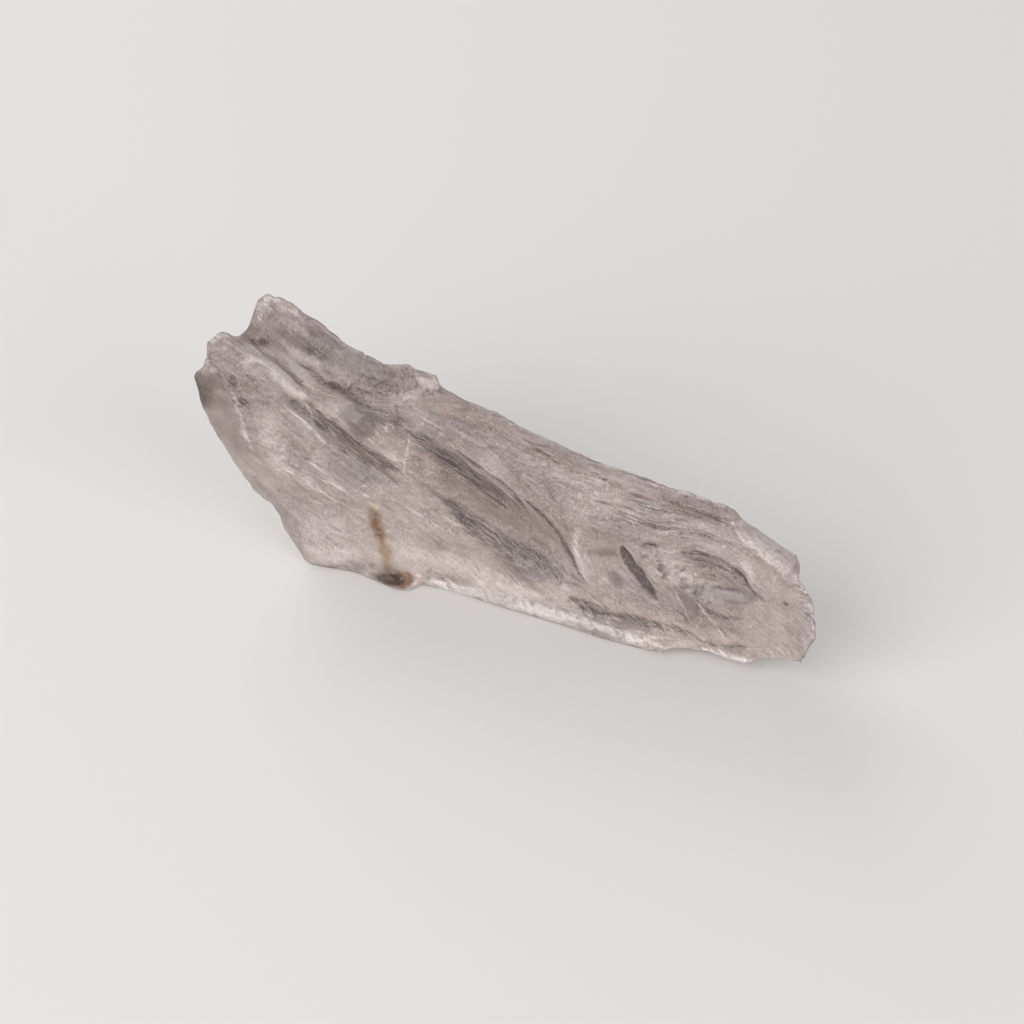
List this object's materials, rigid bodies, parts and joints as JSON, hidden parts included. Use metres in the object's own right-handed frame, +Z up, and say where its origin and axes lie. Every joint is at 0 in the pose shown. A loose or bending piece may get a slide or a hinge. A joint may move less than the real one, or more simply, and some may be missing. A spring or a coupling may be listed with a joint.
{
  "type": "rough quartz crystal",
  "caption": "Elongated broken shard of translucent quartz with scooped, striated fracture faces, lying on a flat facet.",
  "frame": {"origin": "on the ground under the middle of the shard's bounding box", "axes": "+X along the shard towards its rounded end, -X towards the end with two prongs, +Y to the back, away from the broad scooped face, +Z up from the flat facet it rests on"},
  "size_m": [0.0583, 0.0147, 0.0227],
  "materials": {
    "quartz": "frosted, cloudy natural quartz"
  },
  "bodies": {
    "root": {"quartz_crystal": "quartz"}
  },
  "joints": []
}
